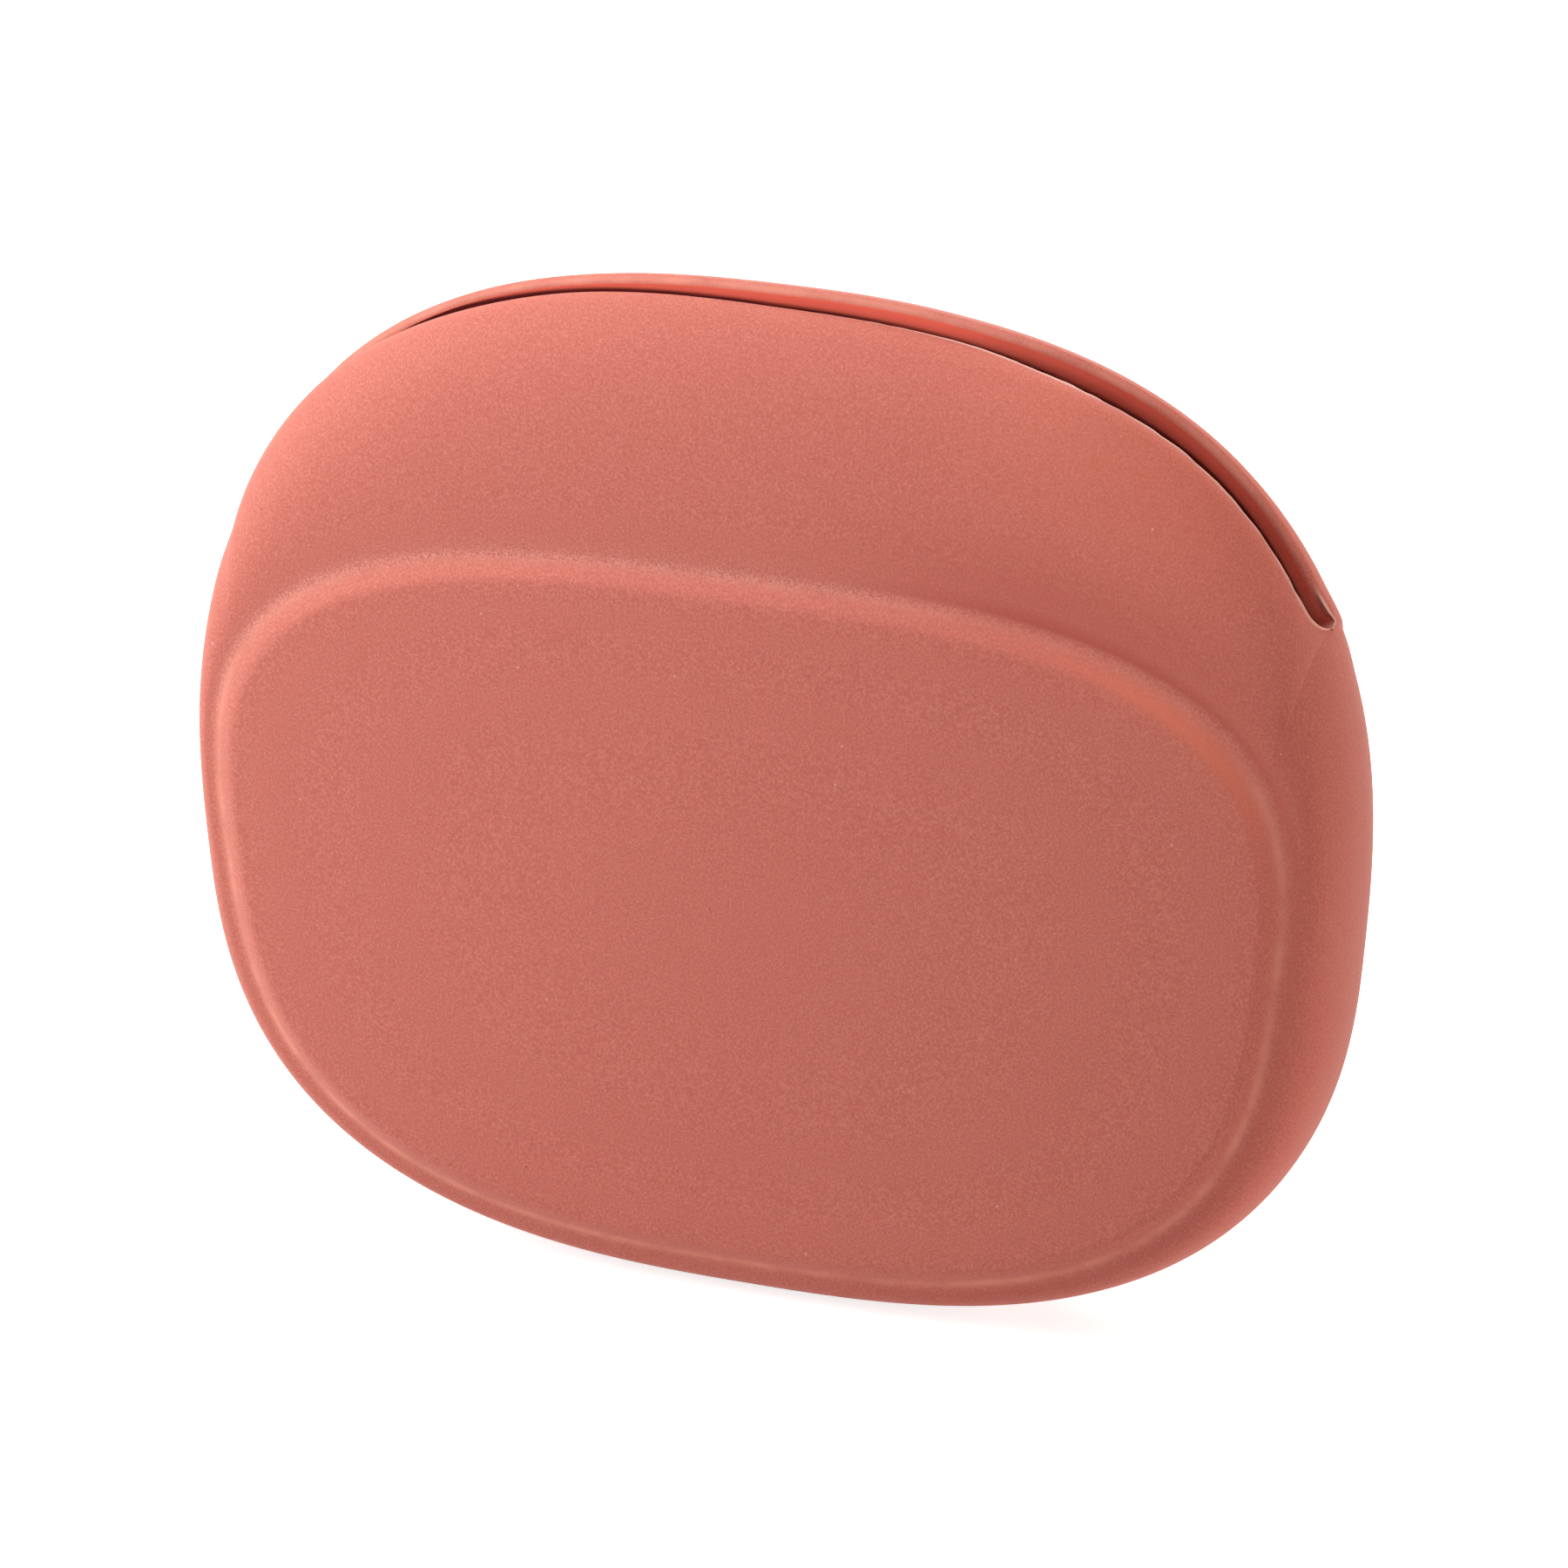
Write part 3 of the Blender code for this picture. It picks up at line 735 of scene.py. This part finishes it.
class Finish:
    """A material whose nodes are added one after another."""

    def __init__(self, name):
        self.material = bpy.data.materials.new(name)
        self.material.use_nodes = True
        self.tree = self.material.node_tree
        self.shader = self.tree.nodes["Principled BSDF"]

    def node(self, kind, **settings):
        made = self.tree.nodes.new(kind)
        for name, value in settings.items():
            setattr(made, name, value)
        return made

    def join(self, output, node_input):
        self.tree.links.new(output, node_input)

    def fill(self, socket, value):
        """Links a socket to another one, or gives it a plain value."""
        if isinstance(value, bpy.types.NodeSocket):
            self.join(value, socket)
        else:
            socket.default_value = value

    def place(self):
        return self.node("ShaderNodeTexCoord").outputs["Object"]

    def rest_place(self):
        return self.node("ShaderNodeAttribute", attribute_name="rest_place").outputs["Vector"]

    def share(self, name):
        """A number from 0 to 1 that the mesh carries."""
        return self.node("ShaderNodeAttribute", attribute_name=name).outputs["Fac"]

    def noise(self, place, size, detail=2.0):
        """Noise from 0 to 1 whose lumps are about this size, in metres."""
        made = self.node("ShaderNodeTexNoise")
        made.inputs["Scale"].default_value = 1 / size
        made.inputs["Detail"].default_value = detail
        self.join(place, made.inputs["Vector"])
        return made.outputs["Fac"]

    def spread(self, value, low, high, out_low=0.0, out_high=1.0):
        """The value's range from low to high, stretched to another range and cut off past it."""
        made = self.node("ShaderNodeMapRange")
        sockets = ("Value", "From Min", "From Max", "To Min", "To Max")
        for socket, filling in zip(sockets, (value, low, high, out_low, out_high)):
            self.fill(made.inputs[socket], filling)
        return made.outputs["Result"]

    def maths(self, operation, first, second):
        made = self.node("ShaderNodeMath", operation=operation)
        self.fill(made.inputs[0], first)
        self.fill(made.inputs[1], second)
        return made.outputs["Value"]

    def blend(self, share, first, second):
        """A colour between two colours."""
        made = self.node("ShaderNodeMix", data_type="RGBA")
        self.fill(made.inputs["Factor"], share)
        for number, value in zip(MIX_COLOURS_IN, (first, second)):
            self.fill(made.inputs[number], (*value, 1.0) if isinstance(value, tuple) else value)
        return made.outputs[MIX_COLOUR_OUT]

    def bump(self, height, distance, strength):
        made = self.node("ShaderNodeBump")
        made.inputs["Distance"].default_value = distance
        made.inputs["Strength"].default_value = strength
        self.join(height, made.inputs["Height"])
        self.join(made.outputs["Normal"], self.shader.inputs["Normal"])

    def specks(self, place, spacing, radius, share):
        """Small round dots, one to a cell at most, in this share of the cells."""
        cells = self.node("ShaderNodeTexVoronoi")
        cells.inputs["Scale"].default_value = 1 / spacing
        self.join(place, cells.inputs["Vector"])
        edge = radius / spacing
        dot = self.spread(cells.outputs["Distance"], edge * SPECK_CORE, edge, 1.0, 0.0)
        colour = self.node("ShaderNodeSeparateColor")
        self.join(cells.outputs["Color"], colour.inputs["Color"])
        chosen = self.maths("LESS_THAN", colour.outputs["Red"], share)
        return self.maths("MULTIPLY", dot, chosen)


def grained_colour(finish, place, grain):
    """The silicone's own colour: faintly cloudy, with a fine grain of deep and pale."""
    cloud = finish.noise(place, CLOUD_SIZE)
    colour = finish.blend(finish.spread(cloud, *CLOUD_LEVELS, *CLOUD_SHARES), SILICONE_DEEP, SILICONE)
    deep = finish.spread(grain, *DEEP_GRAIN_LEVELS, GRAIN_STRENGTH, 0.0)
    colour = finish.blend(deep, colour, SILICONE_DEEP)
    pale = finish.spread(grain, *PALE_GRAIN_LEVELS, 0.0, GRAIN_STRENGTH)
    return finish.blend(pale, colour, SILICONE_PALE)


def add_wear(finish, place, colour):
    """Painted shade outside the rim, a warmer painted highlight in the upper right, the rubbed rim with its
    painted highlight, and pale and dark crumbs of dust beside it.
    """
    # Painted shade outside the rim.
    colour = finish.blend(finish.share("groove_shade"), colour, SILICONE_GROOVE_SHADE)
    # Warm painted highlight.
    painted_warmth = finish.maths("MULTIPLY", finish.share("warm_highlight"), WARM_HIGHLIGHT_STRENGTH)
    colour = finish.blend(painted_warmth, colour, SILICONE_WARM_HIGHLIGHT)
    patches = finish.spread(finish.noise(place, **PATCHES), *PATCH_LEVELS, *PATCH_SHARES)
    colour = finish.blend(finish.maths("MULTIPLY", finish.share("rub_and_highlight"), patches), colour, SILICONE_RUB_HIGHLIGHT)
    crumbs = finish.noise(place, **CRUMBS)
    for levels, shade in ((PALE_CRUMB_LEVELS, SILICONE_DUST), (DARK_CRUMB_LEVELS, SILICONE_PIT)):
        chosen = finish.spread(crumbs, *levels, 0.0, CRUMB_STRENGTH)
        colour = finish.blend(finish.maths("MULTIPLY", chosen, finish.share("dust")), colour, shade)
    return colour


def add_specks(finish, place, colour):
    """A thin, even scatter of dark pits and pale motes."""
    colour = finish.blend(finish.specks(place, **PITS), colour, SILICONE_PIT)
    motes = finish.maths("MULTIPLY", finish.specks(place, **MOTES), MOTE_STRENGTH)
    return finish.blend(motes, colour, SILICONE_DUST)


def add_mouth(finish, place, colour):
    """Deeper colour with painted shade inside, painted light on the back lip, painted shadow between the
    lips, and the flash, which is patchy.
    """
    for name, shade in (("inside", SILICONE_INSIDE_SHADE), ("painted_light", SILICONE_PAINTED_LIGHT), ("slit_shadow", SILICONE_SLIT_SHADOW)):
        colour = finish.blend(finish.share(name), colour, shade)
    tears = finish.spread(finish.noise(place, **TEARS), *TEAR_LEVELS, *TEAR_SHARES)
    return finish.blend(finish.maths("MULTIPLY", finish.share("flash"), tears), colour, SILICONE_FLASH)


def set_silicone(finish, grain):
    """The matte, finely grained and slightly translucent surface that all the silicone has."""
    roughness = finish.spread(grain, *ROUGHNESS_LEVELS, *ROUGHNESS)
    finish.join(roughness, finish.shader.inputs["Roughness"])
    finish.bump(grain, GRAIN_DEPTH, GRAIN_BUMP)
    for name, value in SILICONE_SURFACE.items():
        finish.shader.inputs[name].default_value = value


def skin_silicone():
    finish = Finish("coral_silicone")
    place = finish.rest_place()
    grain = finish.noise(place, GRAIN_SIZE)
    colour = grained_colour(finish, place, grain)
    for add in (add_wear, add_specks, add_mouth):
        colour = add(finish, place, colour)
    finish.join(colour, finish.shader.inputs["Base Color"])
    set_silicone(finish, grain)
    return finish.material


def plug_silicone():
    """The plugs sit in the hollow and have its plain deep colour, with its painted shade."""
    finish = Finish("plug_silicone")
    finish.shader.inputs["Base Color"].default_value = (*SILICONE_INSIDE_SHADE, 1.0)
    set_silicone(finish, finish.noise(finish.place(), GRAIN_SIZE))
    return finish.material


def magnet_plating():
    """Satin nickel with fine rolling marks along the magnet and a few handling scuffs."""
    finish = Finish("nickel_plating")
    place = finish.place()
    stretch = finish.node("ShaderNodeMapping")
    stretch.inputs["Scale"].default_value = ROLLING_STRETCH
    finish.join(place, stretch.inputs["Vector"])
    marks = finish.noise(stretch.outputs["Vector"], **ROLLING)
    scuffs = finish.noise(place, **SCUFFS)
    colour = finish.blend(finish.spread(marks, *ROLLING_LEVELS), NICKEL, NICKEL_PALE)
    scuffed = finish.spread(scuffs, *SCUFF_LEVELS, 0.0, SCUFF_STRENGTH)
    colour = finish.blend(scuffed, colour, NICKEL_SCUFFED)
    finish.join(colour, finish.shader.inputs["Base Color"])
    roughness = finish.spread(scuffs, *NICKEL_ROUGHNESS_LEVELS, *NICKEL_ROUGHNESS)
    finish.join(roughness, finish.shader.inputs["Roughness"])
    finish.bump(marks, ROLLING_DEPTH, ROLLING_BUMP)
    finish.shader.inputs["Metallic"].default_value = 1.0
    return finish.material


def dress(piece, material):
    piece.data.materials.clear()
    piece.data.materials.append(material)


def build_skins():
    """Both halves, each standing in for its shell and lip, which are hidden."""
    material = skin_silicone()
    for side in ("front", "back"):
        half = Half(side)
        skin = half.skin()
        cut_pockets(skin, side)
        dress(skin, material)
        skin.data.shade_smooth()
        skin.data.set_sharp_from_angle(angle=SHARP_TURN)
        keep_rest_place(skin)
        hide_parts(side + "_shell", side + "_lip")
        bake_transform(skin)


def dress_frame():
    """Finishes for the pieces that the frame carries over: the magnets and their plugs."""
    finishes = {"magnet": magnet_plating(), "plug": plug_silicone()}
    for name, node in frame["nodes"].items():
        for kind, material in finishes.items():
            if kind in name:
                dress(node, material)


def seen_rays(tree):
    """1 for the rays that show a surface to the camera, in a mirror or through glass, and 0 for light."""
    path = tree.nodes.new("ShaderNodeLightPath")
    share = path.outputs["Is Camera Ray"]
    for kind in ("Is Glossy Ray", "Is Transmission Ray"):
        either = tree.nodes.new("ShaderNodeMath")
        either.operation = "MAXIMUM"
        tree.links.new(share, either.inputs[0])
        tree.links.new(path.outputs[kind], either.inputs[1])
        share = either.outputs["Value"]
    return share


def pale_floor():
    """A plain white floor that keeps a faint shadow, and looks white from any side."""
    finish = Finish("pale_floor")
    for name, value in FLOOR_SURFACE.items():
        finish.shader.inputs[name].default_value = value
    distance = finish.node("ShaderNodeVectorMath", operation="LENGTH")
    finish.join(finish.place(), distance.inputs[0])
    white = finish.spread(distance.outputs["Value"], *FLOOR_GLOW_REACH, FLOOR_GLOW, 1.0)
    glow = finish.maths("MULTIPLY", seen_rays(finish.tree), white)
    finish.join(glow, finish.shader.inputs["Emission Strength"])
    mesh = bpy.data.meshes.new("floor")
    build = bmesh.new()
    bmesh.ops.create_grid(build, x_segments=1, y_segments=1, size=FLOOR_REACH)
    build.to_mesh(mesh)
    build.free()
    floor = link(bpy.data.objects.new("floor", mesh))
    floor.data.materials.append(finish.material)


def aim(thing, azimuth, elevation, distance):
    """Puts a lamp or the camera this far from the target, on this side of it, and turns it there."""
    turn, tilt = math.radians(azimuth), math.radians(elevation)
    way = Vector((math.sin(turn) * math.cos(tilt), -math.cos(turn) * math.cos(tilt), math.sin(tilt)))
    thing.location = CAMERA_TARGET + way * distance
    thing.rotation_euler = way.to_track_quat("Z", "Y").to_euler()


def hang_lamps():
    for name, (azimuth, elevation, distance, width, power, colour) in LAMPS.items():
        lamp = bpy.data.lights.new(name, "AREA")
        lamp.size = width
        lamp.energy = power
        lamp.color = colour
        holder = link(bpy.data.objects.new(name, lamp))
        holder.visible_camera = False
        aim(holder, azimuth, elevation, distance)


def light_world():
    """A world that looks white and gives next to no light."""
    world = bpy.data.worlds.new("world")
    bpy.context.scene.world = world
    world.use_nodes = True
    tree = world.node_tree
    plain = tree.nodes["Background"]
    plain.inputs["Color"].default_value = (*WHITE, 1.0)
    plain.inputs["Strength"].default_value = WORLD_STRENGTH
    seen = tree.nodes.new("ShaderNodeBackground")
    seen.inputs["Color"].default_value = (*WHITE, 1.0)
    mix = tree.nodes.new("ShaderNodeMixShader")
    tree.links.new(seen_rays(tree), mix.inputs["Fac"])
    tree.links.new(plain.outputs["Background"], mix.inputs[1])
    tree.links.new(seen.outputs["Background"], mix.inputs[2])
    tree.links.new(mix.outputs["Shader"], tree.nodes["World Output"].inputs["Surface"])


def place_camera():
    lens = bpy.data.cameras.new("camera")
    lens.lens = CAMERA_LENS
    lens.clip_start, lens.clip_end = CAMERA_CLIPS
    camera = link(bpy.data.objects.new("camera", lens))
    aim(camera, CAMERA_AZIMUTH, CAMERA_ELEVATION, CAMERA_DISTANCE)
    bpy.context.scene.camera = camera


def main():
    build_skins()
    dress_frame()
    pale_floor()
    hang_lamps()
    light_world()
    place_camera()
    bpy.context.scene.view_settings.view_transform = "Standard"


main()
